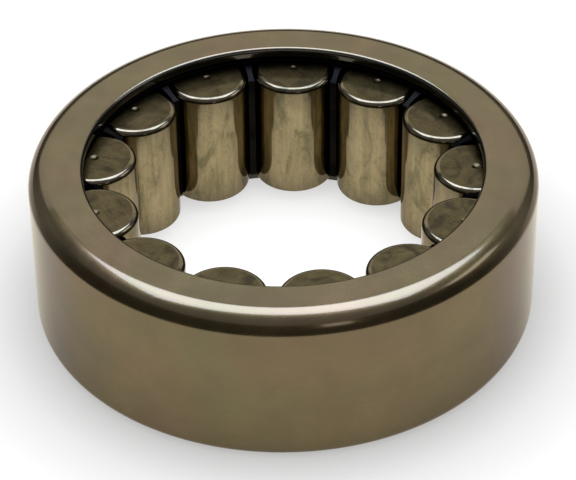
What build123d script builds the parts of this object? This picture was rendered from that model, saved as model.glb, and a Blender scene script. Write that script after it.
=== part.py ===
from build123d import *
from math import cos, radians, sin
import os

# Lipped roller bearing whose rollers run straight on the shaft, with no inner ring.
# Millimetres, +Z along the bearing's axis, origin at the centre of the outer ring.
# The bearing lies on its lower face, so the cage has settled onto the lower lip, and the rollers onto
# the cage's lower rim.

# Outer ring
RING_OUTER_D = 57.15
RING_WIDTH = 19.05
LIP_THICKNESS = 1.1
LIP_BORE_D = 44.84
TOP_CORNER_RADIUS = 2.2
BOTTOM_CORNER_RADIUS = 1.6
LIP_EDGE_RADIUS = 0.5
RELIEF_RADIUS = 0.35

# Rollers
SHAFT_D = 34.0
ROLLER_D = 9.525
ROLLER_LENGTH = 15.1
ROLLER_COUNT = 13
ROLLER_EDGE_RADIUS = 0.65
DIMPLE_RADIUS = 0.5
DIMPLE_DEPTH = 0.15

# Cage
RIM_BORE_D = 45.0
RIM_OUTER_D = 52.4
RIM_THICKNESS = 0.5
RIM_EDGE_RADIUS = 0.15
BAR_INNER_RADIUS = 20.2
BAR_OUTER_RADIUS = 23.6
BAR_END_DROP = 0.85

# Fits
RACE_CLEARANCE = 0.03
SETTLED_CLEARANCE = 0.05
POCKET_SIDE_CLEARANCE = 0.15
POCKET_LENGTH_PLAY = 0.3

# Worked out from the values above
RING_R = RING_OUTER_D / 2
RING_HALF = RING_WIDTH / 2
LIP_BORE_R = LIP_BORE_D / 2
CAVITY_HALF = RING_HALF - LIP_THICKNESS
ROLLER_R = ROLLER_D / 2
ROLLER_HALF = ROLLER_LENGTH / 2
PITCH_R = SHAFT_D / 2 + ROLLER_R
RACE_R = PITCH_R + ROLLER_R + RACE_CLEARANCE
RIM_BORE_R = RIM_BORE_D / 2
RIM_OUTER_R = RIM_OUTER_D / 2
POCKET_R = ROLLER_R + POCKET_SIDE_CLEARANCE
CAGE_LOW = SETTLED_CLEARANCE - CAVITY_HALF
POCKET_LOW = CAGE_LOW + RIM_THICKNESS
POCKET_HIGH = POCKET_LOW + ROLLER_LENGTH + POCKET_LENGTH_PLAY
CAGE_HIGH = POCKET_HIGH + RIM_THICKNESS
ROLLER_Z = POCKET_LOW + SETTLED_CLEARANCE + ROLLER_HALF


def box_section(inner_r, outer_r, low, high):
    """Rectangle from one radius to another and from one height to another."""
    return Pos((inner_r + outer_r) / 2, (low + high) / 2) * Rectangle(outer_r - inner_r, high - low)


def corner(section, r, z):
    """The corner of a section that lies nearest to a radius and a height."""
    return section.vertices().sort_by_distance((r, z, 0))[0]


def turned(section):
    """Solid made by turning a section, drawn as radius and height, about the bearing's axis."""
    return revolve(Plane.XZ * section, Axis.Z)


def roller_place(number):
    """Place of a roller's centre. Roller 1 is on +Y and the others follow, clockwise from above."""
    turn = radians((number - 1) * 360 / ROLLER_COUNT)
    return Pos(PITCH_R * sin(turn), PITCH_R * cos(turn), ROLLER_Z)


def outer_ring():
    """Thick ring with a lip at each end and a relief groove in each corner of the race."""
    section = box_section(LIP_BORE_R, RING_R, -RING_HALF, RING_HALF)
    section = fillet(corner(section, RING_R, RING_HALF), TOP_CORNER_RADIUS)
    section = fillet(corner(section, RING_R, -RING_HALF), BOTTOM_CORNER_RADIUS)
    section = fillet(corner(section, LIP_BORE_R, RING_HALF), LIP_EDGE_RADIUS)
    section = fillet(corner(section, LIP_BORE_R, -RING_HALF), LIP_EDGE_RADIUS)
    section -= box_section(0, RACE_R, -CAVITY_HALF, CAVITY_HALF)
    section -= Pos(RACE_R, CAVITY_HALF) * Circle(RELIEF_RADIUS)
    section -= Pos(RACE_R, -CAVITY_HALF) * Circle(RELIEF_RADIUS)
    return turned(section)


def roller():
    """Cylindrical roller with rounded end edges and a small centre dimple in each end."""
    section = box_section(0, ROLLER_R, -ROLLER_HALF, ROLLER_HALF)
    section = fillet(corner(section, ROLLER_R, ROLLER_HALF), ROLLER_EDGE_RADIUS)
    section = fillet(corner(section, ROLLER_R, -ROLLER_HALF), ROLLER_EDGE_RADIUS)
    body = turned(section)
    sphere_r = (DIMPLE_RADIUS**2 + DIMPLE_DEPTH**2) / (2 * DIMPLE_DEPTH)
    for end in (-1, 1):
        body -= Pos(0, 0, end * (ROLLER_HALF - DIMPLE_DEPTH + sphere_r)) * Sphere(sphere_r)
    return body


def cage():
    """One-piece cage: a thin flat rim under each lip, and a bar between each two rollers.

    The bars are what the rollers' pockets leave of a sleeve. They reach inwards past the rims and past
    the rollers' centres, so that no roller can fall out.
    """
    section = sleeve_section() + rim_section(POCKET_HIGH, CAGE_HIGH) + rim_section(CAGE_LOW, POCKET_LOW)
    body = turned(section)
    for number in range(1, ROLLER_COUNT + 1):
        pocket = Cylinder(POCKET_R, POCKET_HIGH - POCKET_LOW)
        body -= roller_place(number) * Pos(0, 0, (POCKET_LOW + POCKET_HIGH) / 2 - ROLLER_Z) * pocket
    return body


def sleeve_section():
    """Section of the sleeve between the rims. Inside the rims its ends slope, away from the rollers' ends."""
    outline = Polyline(
        (BAR_OUTER_RADIUS, POCKET_LOW),
        (BAR_OUTER_RADIUS, POCKET_HIGH),
        (RIM_BORE_R, POCKET_HIGH),
        (BAR_INNER_RADIUS, POCKET_HIGH - BAR_END_DROP),
        (BAR_INNER_RADIUS, POCKET_LOW + BAR_END_DROP),
        (RIM_BORE_R, POCKET_LOW),
        close=True,
    )
    return make_face(outline)


def rim_section(low, high):
    """Section of one of the cage's rims, with its inner edges rounded."""
    section = box_section(RIM_BORE_R, RIM_OUTER_R, low, high)
    section = fillet(corner(section, RIM_BORE_R, high), RIM_EDGE_RADIUS)
    return fillet(corner(section, RIM_BORE_R, low), RIM_EDGE_RADIUS)


def save(shape, name):
    """Write one sub-part as parts/NAME.step."""
    shape.label = name
    export_step(shape, f"parts/{name}.step")


os.makedirs("parts", exist_ok=True)
save(outer_ring(), "outer_ring")
save(cage(), "cage")
for number in range(1, ROLLER_COUNT + 1):
    save(roller_place(number) * roller(), f"roller_{number:02d}")
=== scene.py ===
import bpy
import math
import random
from mathutils import Matrix, Vector


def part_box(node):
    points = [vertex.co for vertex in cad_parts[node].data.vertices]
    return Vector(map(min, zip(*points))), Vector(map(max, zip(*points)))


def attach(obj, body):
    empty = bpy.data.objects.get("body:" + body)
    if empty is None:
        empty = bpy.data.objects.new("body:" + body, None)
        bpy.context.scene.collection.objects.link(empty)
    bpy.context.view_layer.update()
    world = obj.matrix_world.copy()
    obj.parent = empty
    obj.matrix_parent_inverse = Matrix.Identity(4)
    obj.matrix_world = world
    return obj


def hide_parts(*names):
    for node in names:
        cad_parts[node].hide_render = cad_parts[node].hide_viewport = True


# A lipped roller bearing on a pale floor, in a soft studio. The ring and the rollers are turned shapes
# that replace their CAD nodes, and the cage keeps its CAD shape. Everything is in the CAD model's frame.
# Lengths are metres, or millimetres where the name ends in _MM, and angles are degrees.

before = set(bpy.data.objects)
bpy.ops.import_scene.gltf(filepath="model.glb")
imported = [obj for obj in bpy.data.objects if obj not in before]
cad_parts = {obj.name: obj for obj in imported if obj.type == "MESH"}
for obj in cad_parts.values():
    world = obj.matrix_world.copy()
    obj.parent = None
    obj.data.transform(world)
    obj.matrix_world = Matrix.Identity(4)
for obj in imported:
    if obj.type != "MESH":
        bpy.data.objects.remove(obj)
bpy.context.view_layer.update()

MM = 0.001

# Ring
TOP_CORNER_MM = 2.2
TOP_CORNER_REACH_MM = 2.35
TOP_CORNER_TURN = 80
BOTTOM_CORNER_MM = 1.6
LIP_THICKNESS_MM = 1.1
LIP_EDGE_MM = 0.5
LIP_INNER_EDGE_MM = 0.1
RELIEF_MM = 0.35
RACE_CLEARANCE_MM = 0.03

# Distance between a rounded edge and the extra points beside it, which keep the flat faces flat
SUPPORT_MM = 0.03

# Rollers. The dimple is a shallow part of a sphere in the middle of each end. The end's flat part has an
# extra row of points at END_ROW times the radius.
ROLLER_EDGE_MM = 0.65
DIMPLE_RADIUS_MM = 0.5
DIMPLE_DEPTH_MM = 0.15
END_ROW = 0.5
ROLLER_COUNT = sum(name.startswith("roller_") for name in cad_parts)

# Each roller takes its stains from another place in the pattern, up to this far away
ROLLER_SEED = 7
PATTERN_SHIFT_MM = 60

# Steps along the round stretches of an outline, and segments round the axis
TOP_CORNER_STEPS = 18
BOTTOM_CORNER_STEPS = 14
LIP_EDGE_STEPS = 8
LIP_INNER_EDGE_STEPS = 4
RELIEF_STEPS = 12
ROLLER_EDGE_STEPS = 10
DIMPLE_STEPS = 6
RING_SEGMENTS = 384
ROLLER_SEGMENTS = 128

# Camera. It is on the -Y side and looks across the bore at roller 1, which is on +Y.
CAMERA_AZIMUTH = 3.5
CAMERA_ELEVATION = 37.28
CAMERA_ROLL = 0.7
CAMERA_DISTANCE_MM = 290.9
CAMERA_AIM_MM = (0.43, -0.91, -1.17)
CAMERA_LENS = 159.5
CAMERA_SENSOR = 36
CAMERA_CLIP_START = 0.01

# Metals: what the base reflects when seen straight on
RING_GREENISH = (0.136, 0.112, 0.048)
RING_BROWN = (0.143, 0.108, 0.049)
RING_REDDISH = (0.152, 0.106, 0.052)
# Painted shade: the near black of the bore and race, inside the lip's edge
RING_INSIDE_PAINTED_SHADE = (0.03, 0.027, 0.018)
ROLLER_STAIN = (0.135, 0.116, 0.052)
ROLLER_TAN = (0.245, 0.201, 0.106)
ROLLER_PALE = (0.285, 0.230, 0.132)
END_DARK = (0.034, 0.028, 0.013)
END_BROWN = (0.074, 0.055, 0.023)
END_OLIVE = (0.092, 0.073, 0.030)
CAGE_BLACK = (0.003, 0.003, 0.0033)
CAGE_WORN = (0.008, 0.0075, 0.0065)

# Metals: tints near the edges, which keep the steel brown where it is seen at a glancing angle
EDGE_TINT = (0.3, 0.25, 0.15, 1)
CAGE_EDGE_TINT = (0.1, 0.1, 0.1, 1)

# Depths of the finest marks
GRINDING_DEPTH = 0.00001
SCRATCH_DEPTH = 0.00002

# Painted shade: the rollers' sides darken towards their ends: (height in millimetres, brightness)
ROLLER_SHADE = ((4.0, 1.0), (7.0, 0.6))
ROLLER_SHADE_REACH_MM = 10.0

# Floor. It glows by its distance from the axis, given as (metres, brightness): painted light keeps it white
# inside the ring, a painted shadow darkens it round the ring's foot, and it is white again away from it. The
# ramp that holds these covers FLOOR_GLOW_REACH.
FLOOR_GAP_MM = 0.02
FLOOR_SIZE = 1.2
FLOOR_TONE = (0.40, 0.42)
FLOOR_GLOW_WITH_PAINTED_SHADOW = ((0.011, 0.9), (0.018, 0.74), (0.0286, 0.36), (0.034, 0.54), (0.042, 0.68))
FLOOR_GLOW_REACH = 0.1

# Flag: a dark card, curved round the front of the bearing. Its grey is (y, brightness), and its ends fade
# out between the two values of y in FLAG_FADE. The window is a bright patch on it, given in x and z.
FLAG_RADIUS = 0.058
FLAG_HEIGHT = 0.043
FLAG_SPREAD = 122
FLAG_TURN = 3
FLAG_STEPS = 60
FLAG_BASE = (0.01, 0.009, 0.007, 1)
FLAG_GREY = ((-0.018, 0.035), (-0.004, 0.18), (0.014, 0.42))
FLAG_FADE = (0.004, 0.030)
WINDOW_MIDDLE = (0.020, 0.0255)
WINDOW_HALF = (0.0045, 0.0055)
WINDOW_GLOW = 1.3

# Surroundings. WORLD_SEEN is what reflections see: (sine of the elevation, brightness).
WORLD_LIGHT = 1.0
WORLD_SEEN = ((0.0, 0.05), (0.5, 0.2), (0.9, 0.32))
WORLD_BLUENESS = 1.05
WHITE = (1, 1, 1)
COOL_LIGHT = (0.64, 0.74, 1.0)
WARM_LIGHT = (1.0, 0.94, 0.8)


# Outlines, as (radius, height) points in millimetres

def arc(centre_r, centre_z, radius, start, end, steps):
    """Points on an arc, with both ends, between two angles measured from +r towards +z."""
    points = []
    for i in range(steps + 1):
        angle = math.radians(start + (end - start) * i / steps)
        points.append((centre_r + radius * math.cos(angle), centre_z + radius * math.sin(angle)))
    return points


def measured_ring():
    """Outer radius, half width, lip bore radius and race radius of the ring, from the frame."""
    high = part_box("outer_ring")[1]
    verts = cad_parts["outer_ring"].data.vertices
    bore = min(math.hypot(v.co.x, v.co.y) for v in verts)
    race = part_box("roller_01")[1].y / MM + RACE_CLEARANCE_MM
    return high.x / MM, high.z / MM, bore / MM, race


def ring_profile():
    """The ring's closed outline, from the foot of the outer wall up, over the top and down inside."""
    outer, half, bore, race = measured_ring()
    corner = BOTTOM_CORNER_MM
    points = arc(outer - corner, corner - half, corner, -90, 0, BOTTOM_CORNER_STEPS)
    points.append((outer, corner - half + SUPPORT_MM))
    points.append((outer, half - TOP_CORNER_MM - SUPPORT_MM))
    points += top_corner(outer, half)
    points.append((outer - TOP_CORNER_REACH_MM - SUPPORT_MM, half))
    upper_lip = lip(bore, half, race)
    points += upper_lip
    points += [(r, -z) for r, z in reversed(upper_lip)]
    points.append((outer - corner - SUPPORT_MM, -half))
    return points


def top_corner(outer, half):
    """A curve that leaves the wall smoothly and meets the end face at a faint edge, as if ground last."""
    full = math.radians(TOP_CORNER_TURN)
    points = []
    for i in range(TOP_CORNER_STEPS + 1):
        turn = full * i / TOP_CORNER_STEPS
        across = TOP_CORNER_REACH_MM * (1 - math.cos(turn)) / (1 - math.cos(full))
        up = TOP_CORNER_MM * math.sin(turn) / math.sin(full)
        points.append((outer - across, half - TOP_CORNER_MM + up))
    return points


def lip(bore, half, race):
    """The upper lip, from the end face round its edge and back out to the relief groove beside the race."""
    cavity = half - LIP_THICKNESS_MM
    edge = LIP_EDGE_MM
    inner = LIP_INNER_EDGE_MM
    points = [(bore + edge + SUPPORT_MM, half)]
    points += arc(bore + edge, half - edge, edge, 90, 180, LIP_EDGE_STEPS)
    points.append((bore, half - edge - SUPPORT_MM))
    points.append((bore, cavity + inner + SUPPORT_MM))
    points += arc(bore + inner, cavity + inner, inner, 180, 270, LIP_INNER_EDGE_STEPS)
    points.append((bore + inner + SUPPORT_MM, cavity))
    points.append((race - RELIEF_MM, cavity))
    points += arc(race, cavity, RELIEF_MM, 180, -90, RELIEF_STEPS)
    return points


def roller_profile(radius, half):
    """A roller's outline from beside the middle of its lower end to beside that of its upper end."""
    edge = ROLLER_EDGE_MM
    sphere = (DIMPLE_RADIUS_MM**2 + DIMPLE_DEPTH_MM**2) / (2 * DIMPLE_DEPTH_MM)
    upper = []
    for i in range(1, DIMPLE_STEPS + 1):
        r = DIMPLE_RADIUS_MM * i / DIMPLE_STEPS
        upper.append((r, half - DIMPLE_DEPTH_MM + sphere - math.sqrt(sphere**2 - r**2)))
    upper.append((DIMPLE_RADIUS_MM + SUPPORT_MM, half))
    upper.append((radius * END_ROW, half))
    upper.append((radius - edge - SUPPORT_MM, half))
    upper += arc(radius - edge, half - edge, edge, 90, 0, ROLLER_EDGE_STEPS)
    upper.append((radius, half - edge - SUPPORT_MM))
    return [(r, -z) for r, z in upper] + upper[::-1]


# Meshes

def finish_mesh(name, verts, faces, pattern_shift):
    """Object with smooth faces. Each point keeps its own place in millimetres for the materials, as it is
    in "place" and moved by the shift in "pattern"."""
    mesh = bpy.data.meshes.new(name)
    mesh.from_pydata([(x * MM, y * MM, z * MM) for x, y, z in verts], [], faces)
    mesh.polygons.foreach_set("use_smooth", [True] * len(mesh.polygons))
    place = mesh.attributes.new("place", "FLOAT_VECTOR", "POINT")
    pattern = mesh.attributes.new("pattern", "FLOAT_VECTOR", "POINT")
    for i, vert in enumerate(verts):
        place.data[i].vector = vert
        pattern.data[i].vector = Vector(vert) + pattern_shift
    mesh.validate()
    mesh.update()
    piece = bpy.data.objects.new(name, mesh)
    bpy.context.scene.collection.objects.link(piece)
    return piece


def turned(profile, segments, closed):
    """Points and faces of the outline turned about Z. If closed, its last row is joined to its first."""
    rows = len(profile)
    verts = []
    faces = []
    for s in range(segments):
        angle = 2 * math.pi * s / segments
        verts += [(r * math.cos(angle), r * math.sin(angle), z) for r, z in profile]
    for s in range(segments):
        here = s * rows
        there = (s + 1) % segments * rows
        for i in range(rows if closed else rows - 1):
            k = (i + 1) % rows
            faces.append((here + i, there + i, there + k, here + k))
    return verts, faces


def close_dimples(profile, segments, verts, faces):
    """Closes a turned roller by a point on the axis at the bottom of each dimple. The dimple's curve is
    nearly a parabola, so its bottom lies depth / steps**2 deeper than the first row of points."""
    rows = len(profile)
    lower = len(verts)
    upper = lower + 1
    drop = DIMPLE_DEPTH_MM / DIMPLE_STEPS**2
    verts.append((0, 0, profile[0][1] + drop))
    verts.append((0, 0, profile[-1][1] - drop))
    for s in range(segments):
        here = s * rows
        there = (s + 1) % segments * rows
        faces.append((here, lower, there))
        faces.append((here + rows - 1, there + rows - 1, upper))


# Material helpers

class Shader:
    """A node material, built one node at a time. A value is a number, a colour or another node's output."""

    def __init__(self, name):
        self.material = bpy.data.materials.new(name)
        self.material.use_nodes = True
        self.nodes = self.material.node_tree.nodes
        self.links = self.material.node_tree.links
        self.bsdf = self.nodes["Principled BSDF"]

    def put(self, target, value):
        if isinstance(value, bpy.types.NodeSocket):
            self.links.new(value, target)
        else:
            target.default_value = value

    def node(self, kind, inputs=(), **settings):
        made = self.nodes.new(kind)
        for key, value in settings.items():
            setattr(made, key, value)
        for key, value in dict(inputs).items():
            self.put(made.inputs[key], value)
        return made

    def attribute(self, name):
        return self.node("ShaderNodeAttribute", attribute_name=name).outputs["Vector"]

    def object_place(self):
        return self.node("ShaderNodeTexCoord").outputs["Object"]

    def math(self, operation, a, b=0.0):
        return self.node("ShaderNodeMath", {0: a, 1: b}, operation=operation).outputs[0]

    def compare(self, value, middle, reach):
        """1 where the value is within reach of the middle, else 0."""
        return self.node("ShaderNodeMath", {0: value, 1: middle, 2: reach}, operation="COMPARE").outputs[0]

    def split(self, vector):
        return self.node("ShaderNodeSeparateXYZ", {0: vector}).outputs

    def join(self, x, y, z):
        return self.node("ShaderNodeCombineXYZ", {0: x, 1: y, 2: z}).outputs[0]

    def noise(self, vector, scale, detail=3.0, roughness=0.55, distortion=0.0):
        values = {"Vector": vector, "Scale": scale, "Detail": detail,
                  "Roughness": roughness, "Distortion": distortion}
        return self.node("ShaderNodeTexNoise", values).outputs["Fac"]

    def ramp(self, value, *stops):
        """Colour ramp with (position, colour) stops. A colour may be one grey number."""
        made = self.node("ShaderNodeValToRGB", {"Fac": value})
        elements = made.color_ramp.elements
        while len(elements) < len(stops):
            elements.new(0.5)
        for element, (position, colour) in zip(elements, stops):
            element.position = position
            element.color = (*colour, 1) if isinstance(colour, tuple) else (colour, colour, colour, 1)
        return made.outputs["Color"]

    def mix(self, factor, a, b, blend="MIX"):
        made = self.node("ShaderNodeMix", data_type="RGBA", blend_type=blend)
        self.put(made.inputs["Factor"], factor)
        self.put(made.inputs["A"], with_alpha(a))
        self.put(made.inputs["B"], with_alpha(b))
        return made.outputs["Result"]

    def multiply(self, colour, shade, factor=1.0):
        return self.mix(factor, colour, shade, "MULTIPLY")

    def spread(self, value, low, high, start=0.0, end=1.0):
        """Maps start..end to low..high, and holds those values beyond."""
        values = {"Value": value, "From Min": start, "From Max": end, "To Min": low, "To Max": high}
        return self.node("ShaderNodeMapRange", values).outputs["Result"]

    def bump(self, height, strength, distance):
        made = self.node("ShaderNodeBump", {"Height": height, "Strength": strength, "Distance": distance})
        return made.outputs["Normal"]

    def surface(self, **values):
        for key, value in values.items():
            self.put(self.bsdf.inputs[key.replace("_", " ")], value)


def with_alpha(value):
    return (*value, 1.0) if isinstance(value, tuple) and len(value) == 3 else value


def radius_of(shader, place):
    """Distance from the axis."""
    x, y, _ = shader.split(place)
    squares = shader.math("ADD", shader.math("MULTIPLY", x, x), shader.math("MULTIPLY", y, y))
    return shader.math("SQRT", squares)


def round_lines(shader, place, density):
    """Fine lines that run round the axis, as a grinding wheel leaves them."""
    x, y, z = shader.split(place)
    radius = radius_of(shader, place)
    across = shader.math("MULTIPLY", shader.math("SUBTRACT", radius, z), density)
    around = shader.join(shader.math("DIVIDE", x, radius), shader.math("DIVIDE", y, radius), across)
    return shader.noise(around, scale=1.0, detail=4.0, roughness=0.7)


def stretched(shader, vector, *factors):
    """The vector with each part times its factor. A small factor stretches a pattern along that part."""
    parts = []
    for part, factor in zip(shader.split(vector), factors):
        parts.append(part if factor == 1 else shader.math("MULTIPLY", part, factor))
    return shader.join(*parts)


# Materials

def ring_steel():
    """Ground steel under a brownish film of oil, with faint red and green clouds in it, and painted shade
    inside the bore.
    """
    s = Shader("ring_steel")
    place = s.attribute("place")
    pattern = s.attribute("pattern")
    hue = s.noise(pattern, scale=0.09, detail=3.0, roughness=0.5, distortion=0.5)
    cloud = s.noise(pattern, scale=0.22, detail=4.0, roughness=0.55, distortion=0.4)
    lines = round_lines(s, place, density=9.0)
    specks = s.noise(pattern, scale=3.5, detail=3.0, roughness=0.6)
    colour = s.ramp(hue, (0.36, RING_GREENISH), (0.5, RING_BROWN), (0.64, RING_REDDISH))
    colour = s.multiply(colour, s.ramp(cloud, (0.3, 0.86), (0.7, 1.08)))
    colour = s.multiply(colour, s.ramp(lines, (0.3, 0.75), (0.7, 1.2)), factor=0.35)
    colour = s.multiply(colour, s.ramp(specks, (0.28, 0.6), (0.36, 1.0)), factor=0.35)
    # Painted shade: the bore and race, inside the lip's edge, are near black
    bore = measured_ring()[2]
    inside = s.math("LESS_THAN", radius_of(s, place), bore + LIP_EDGE_MM / 2)
    colour = s.mix(inside, colour, RING_INSIDE_PAINTED_SHADE)
    s.surface(Base_Color=colour, Metallic=1.0, Roughness=s.spread(cloud, 0.2, 0.32),
              Specular_Tint=EDGE_TINT, Coat_Weight=1.0, Coat_Roughness=0.07,
              Normal=s.bump(lines, 0.15, GRINDING_DEPTH))
    return s.material


def roller_steel():
    """Polished steel with streaks along the roller and patches of olive stain with dark rims."""
    s = Shader("roller_steel")
    place = s.attribute("place")
    pattern = s.attribute("pattern")
    streaks = s.noise(stretched(s, pattern, 1, 1, 0.08), scale=1.3, detail=4.0, roughness=0.6, distortion=0.4)
    patches = s.noise(stretched(s, pattern, 1, 1, 0.45), scale=0.4, detail=4.0, roughness=0.6, distortion=0.8)
    rims = s.noise(stretched(s, pattern, 1, 1, 0.6), scale=0.8, detail=2.0, roughness=0.5, distortion=1.2)
    lines = round_lines(s, place, density=14.0)
    height = s.math("DIVIDE", s.math("ABSOLUTE", s.split(place)[2]), ROLLER_SHADE_REACH_MM)
    shade = s.ramp(height, *[(z / ROLLER_SHADE_REACH_MM, grey) for z, grey in ROLLER_SHADE])
    colour = s.ramp(patches, (0.34, ROLLER_STAIN), (0.46, ROLLER_TAN), (0.68, ROLLER_PALE))
    colour = s.multiply(colour, s.ramp(streaks, (0.3, 0.55), (0.6, 1.1)), factor=0.6)
    colour = s.multiply(colour, s.ramp(rims, (0.44, 1.0), (0.475, 0.5), (0.51, 1.0)), factor=0.45)
    # Painted shade towards the roller's ends
    colour = s.multiply(colour, shade)
    s.surface(Base_Color=colour, Metallic=1.0, Roughness=s.spread(streaks, 0.08, 0.2),
              Specular_Tint=EDGE_TINT, Coat_Weight=0.8, Coat_Roughness=0.06,
              Normal=s.bump(lines, 0.1, GRINDING_DEPTH))
    return s.material


def roller_end_steel():
    """The rollers' flat ends: duller and darker, with scratches one way and smears of old oil."""
    s = Shader("roller_end_steel")
    pattern = s.attribute("pattern")
    one_way = stretched(s, pattern, 3.2, 0.35, 1)
    scratches = s.noise(one_way, scale=1.0, detail=5.0, roughness=0.7, distortion=1.5)
    blotch = s.noise(pattern, scale=0.45, detail=4.0, roughness=0.6, distortion=0.9)
    colour = s.ramp(blotch, (0.34, END_DARK), (0.5, END_BROWN), (0.66, END_OLIVE))
    colour = s.multiply(colour, s.ramp(scratches, (0.35, 0.5), (0.6, 1.2)), factor=0.5)
    s.surface(Base_Color=colour, Metallic=1.0, Roughness=s.spread(scratches, 0.26, 0.42),
              Specular_Tint=EDGE_TINT, Coat_Weight=0.3, Coat_Roughness=0.1,
              Normal=s.bump(scratches, 0.25, SCRATCH_DEPTH))
    return s.material


def cage_steel():
    """Blackened sheet steel with a thin film of oil."""
    s = Shader("cage_steel")
    place = s.object_place()
    grain = s.noise(place, scale=4000.0, detail=3.0)
    smear = s.noise(place, scale=300.0, detail=4.0)
    colour = s.ramp(smear, (0.35, CAGE_BLACK), (0.65, CAGE_WORN))
    s.surface(Base_Color=colour, Metallic=1.0, Roughness=s.spread(smear, 0.25, 0.42),
              Specular_Tint=CAGE_EDGE_TINT, Normal=s.bump(grain, 0.2, SCRATCH_DEPTH))
    return s.material


def floor_white():
    """Pale floor. Reflections see it in warm light, like the lamps behind and in front."""
    s = Shader("floor_white")
    place = s.object_place()
    tone = s.ramp(s.noise(place, scale=8.0), (0.3, FLOOR_TONE[0]), (0.7, FLOOR_TONE[1]))
    # Painted light and shadow: the glow is brightest inside the ring and dips to a painted shadow round its
    # foot
    distance = s.math("DIVIDE", radius_of(s, place), FLOOR_GLOW_REACH)
    glow = s.ramp(distance, *[(radius / FLOOR_GLOW_REACH, grey) for radius, grey in FLOOR_GLOW_WITH_PAINTED_SHADOW])
    mirrored = s.node("ShaderNodeLightPath").outputs["Is Glossy Ray"]
    tint = s.mix(mirrored, WHITE, WARM_LIGHT)
    s.surface(Base_Color=s.multiply(tone, tint), Roughness=0.9,
              Emission_Color=s.multiply(glow, tint), Emission_Strength=1.0)
    return s.material


def flag_black():
    """Matt card, dark in front, paler towards its ends, which fade out, with a bright window on the right."""
    s = Shader("flag_black")
    x, y, z = s.split(s.object_place())
    start = FLAG_GREY[0][0]
    length = FLAG_GREY[-1][0] - start
    along = s.math("DIVIDE", s.math("SUBTRACT", y, start), length)
    grey = s.ramp(along, *[((place - start) / length, tone) for place, tone in FLAG_GREY])
    window = s.math("MULTIPLY", s.compare(x, WINDOW_MIDDLE[0], WINDOW_HALF[0]),
                    s.compare(z, WINDOW_MIDDLE[1], WINDOW_HALF[1]))
    glow = s.math("MAXIMUM", grey, s.math("MULTIPLY", window, WINDOW_GLOW))
    s.surface(Alpha=s.spread(y, 1.0, 0.0, *FLAG_FADE), Base_Color=FLAG_BASE, Roughness=1.0,
              Specular_IOR_Level=0.0, Emission_Color=with_alpha(WHITE), Emission_Strength=glow)
    return s.material


# Pieces

def make_ring():
    verts, faces = turned(ring_profile(), RING_SEGMENTS, closed=True)
    piece = finish_mesh("ring_body", verts, faces, Vector((0, 0, 0)))
    piece.data.materials.append(ring_steel())
    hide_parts("outer_ring")
    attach(piece, "outer_ring")


def roller_mesh(name, radius, half, pattern_shift, side, end):
    """A roller about its own middle, with one material on its side and edges and one on its flat ends."""
    profile = roller_profile(radius, half)
    verts, faces = turned(profile, ROLLER_SEGMENTS, closed=False)
    close_dimples(profile, ROLLER_SEGMENTS, verts, faces)
    piece = finish_mesh(name, verts, faces, pattern_shift)
    piece.data.materials.append(side)
    piece.data.materials.append(end)
    for face in piece.data.polygons:
        x, y, z = face.center / MM
        on_end = abs(z) > half - DIMPLE_DEPTH_MM and math.hypot(x, y) < radius - ROLLER_EDGE_MM
        face.material_index = int(on_end)
    return piece


def make_rollers():
    side = roller_steel()
    end = roller_end_steel()
    dice = random.Random(ROLLER_SEED)
    for number in range(1, ROLLER_COUNT + 1):
        node = f"roller_{number:02d}"
        low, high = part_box(node)
        radius = (high.x - low.x) / 2 / MM
        half = (high.z - low.z) / 2 / MM
        shift = Vector([dice.uniform(-PATTERN_SHIFT_MM, PATTERN_SHIFT_MM) for _ in range(3)])
        piece = roller_mesh(f"{node}_body", radius, half, shift, side, end)
        piece.data.transform(Matrix.Rotation(dice.uniform(0, 2 * math.pi), 4, "Z"))
        piece.location = (low + high) / 2
        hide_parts(node)
        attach(piece, node)


def dress_cage():
    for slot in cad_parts["cage"].material_slots:
        slot.material = cage_steel()


# Studio

def add_mesh(name, verts, faces, material):
    """A thing of the studio that isn't part of the bearing."""
    mesh = bpy.data.meshes.new(name)
    mesh.from_pydata(verts, [], faces)
    mesh.materials.append(material)
    thing = bpy.data.objects.new(name, mesh)
    bpy.context.scene.collection.objects.link(thing)
    return thing


def floor_height():
    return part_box("outer_ring")[0].z - FLOOR_GAP_MM * MM


def make_floor():
    z = floor_height()
    size = FLOOR_SIZE
    corners = [(-size, -size, z), (size, -size, z), (size, size, z), (-size, size, z)]
    add_mesh("floor", corners, [(0, 1, 2, 3)], floor_white())


def make_flag():
    """Stands the dark card on the floor round the front. Only reflections see it, and it makes the dark
    band below the highlight on the ring's corner."""
    z = floor_height()
    verts = []
    for i in range(FLAG_STEPS + 1):
        angle = math.radians(-90 + FLAG_TURN + FLAG_SPREAD * (2 * i / FLAG_STEPS - 1))
        x = FLAG_RADIUS * math.cos(angle)
        y = FLAG_RADIUS * math.sin(angle)
        verts += [(x, y, z), (x, y, z + FLAG_HEIGHT)]
    faces = [(2 * i, 2 * i + 2, 2 * i + 3, 2 * i + 1) for i in range(FLAG_STEPS)]
    flag = add_mesh("flag", verts, faces, flag_black())
    flag.visible_camera = False
    flag.visible_diffuse = False
    flag.visible_shadow = False


def overhead_light(name, place, size, brightness, colour):
    """Rectangular lamp that shines straight down. The brightness doesn't depend on its size."""
    lamp = bpy.data.lights.new(name, "AREA")
    lamp.shape = "RECTANGLE"
    lamp.size, lamp.size_y = size
    lamp.energy = brightness * math.pi * size[0] * size[1]
    lamp.color = colour
    thing = bpy.data.objects.new(name, lamp)
    thing.location = place
    bpy.context.scene.collection.objects.link(thing)
    thing.light_linking.receiver_collection = floor_left_out()
    return thing


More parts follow.
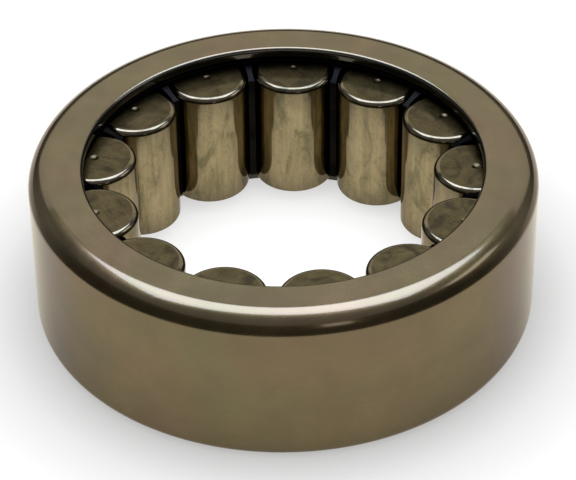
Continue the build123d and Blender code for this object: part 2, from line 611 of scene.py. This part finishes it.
def soft_box(name, azimuth, elevation, distance, size, brightness, colour):
    """Rectangular lamp that looks at the origin. Azimuth 0 is behind the bearing, on +Y, and 90 is on +X."""
    a = math.radians(azimuth)
    e = math.radians(elevation)
    place = Vector((math.sin(a) * math.cos(e), math.cos(a) * math.cos(e), math.sin(e))) * distance
    thing = overhead_light(name, place, size, brightness, colour)
    thing.rotation_mode = "QUATERNION"
    thing.rotation_quaternion = (-place).to_track_quat("-Z", "Y")
    return thing


def floor_left_out():
    """Collection that keeps the lamps off the floor, which the world lights without hard shadows."""
    name = "floor_left_out"
    if name not in bpy.data.collections:
        group = bpy.data.collections.new(name)
        group.objects.link(bpy.data.objects["floor"])
        group.collection_objects[0].light_linking.link_state = "EXCLUDE"
    return bpy.data.collections[name]


def ring_only():
    """Collection that keeps a lamp to the ring."""
    group = bpy.data.collections.new("ring_only")
    group.objects.link(bpy.data.objects["ring_body"])
    return group


def make_lamps():
    """The top lamp makes the highlight on the ring's corner and the back one the sheen on its end face. The
    side one lights it from the right, and the front one is for its end face as seen from behind."""
    overhead_light("top_light", place=(0, 0.195, 0.55), size=(0.594, 0.4125), brightness=7.4,
                   colour=COOL_LIGHT)
    soft_box("back_light", azimuth=0, elevation=30, distance=0.8, size=(1.2, 0.36), brightness=0.84,
             colour=WARM_LIGHT)
    soft_box("side_light", azimuth=81, elevation=35, distance=0.7, size=(0.32, 0.2), brightness=2.1,
             colour=WHITE)
    front_light = soft_box("front_light", azimuth=180, elevation=24, distance=0.8, size=(1.6, 0.42),
                           brightness=0.75, colour=WARM_LIGHT)
    front_light.light_linking.receiver_collection = ring_only()


def make_world():
    """White surroundings that light the floor evenly, but look dim, and dark low down, in reflections."""
    world = bpy.data.worlds.new("studio")
    bpy.context.scene.world = world
    world.use_nodes = True
    nodes = world.node_tree.nodes
    links = world.node_tree.links
    plain = nodes["Background"]
    plain.inputs["Color"].default_value = with_alpha(WHITE)
    plain.inputs["Strength"].default_value = WORLD_LIGHT
    seen = nodes.new("ShaderNodeBackground")
    ramp = nodes.new("ShaderNodeValToRGB")
    split = nodes.new("ShaderNodeSeparateXYZ")
    links.new(nodes.new("ShaderNodeTexCoord").outputs["Generated"], split.inputs[0])
    links.new(split.outputs["Z"], ramp.inputs["Fac"])
    elements = ramp.color_ramp.elements
    while len(elements) < len(WORLD_SEEN):
        elements.new(0.5)
    for element, (position, grey) in zip(elements, WORLD_SEEN):
        element.position = position
        element.color = (grey, grey, grey * WORLD_BLUENESS, 1)
    links.new(ramp.outputs["Color"], seen.inputs["Color"])
    choice = nodes.new("ShaderNodeMixShader")
    links.new(nodes.new("ShaderNodeLightPath").outputs["Is Glossy Ray"], choice.inputs["Fac"])
    links.new(plain.outputs[0], choice.inputs[1])
    links.new(seen.outputs[0], choice.inputs[2])
    links.new(choice.outputs[0], nodes["World Output"].inputs["Surface"])


def make_camera():
    turn = Matrix.Rotation(math.radians(CAMERA_AZIMUTH), 3, "Z")
    roll = Matrix.Rotation(-math.radians(CAMERA_ROLL), 3, "Z")
    e = math.radians(CAMERA_ELEVATION)
    place = turn @ Vector((0, -math.cos(e), math.sin(e))) * CAMERA_DISTANCE_MM * MM
    aim = turn @ Vector(CAMERA_AIM_MM) * MM
    camera = bpy.data.objects.new("camera", bpy.data.cameras.new("camera"))
    camera.data.lens = CAMERA_LENS
    camera.data.sensor_width = CAMERA_SENSOR
    camera.data.clip_start = CAMERA_CLIP_START
    camera.location = place
    facing = (aim - place).to_track_quat("-Z", "Y").to_matrix() @ roll
    camera.rotation_mode = "QUATERNION"
    camera.rotation_quaternion = facing.to_quaternion()
    bpy.context.scene.collection.objects.link(camera)
    bpy.context.scene.camera = camera


bpy.context.scene.view_settings.view_transform = "Standard"
make_camera()
make_ring()
make_rollers()
dress_cage()
make_floor()
make_flag()
make_world()
make_lamps()
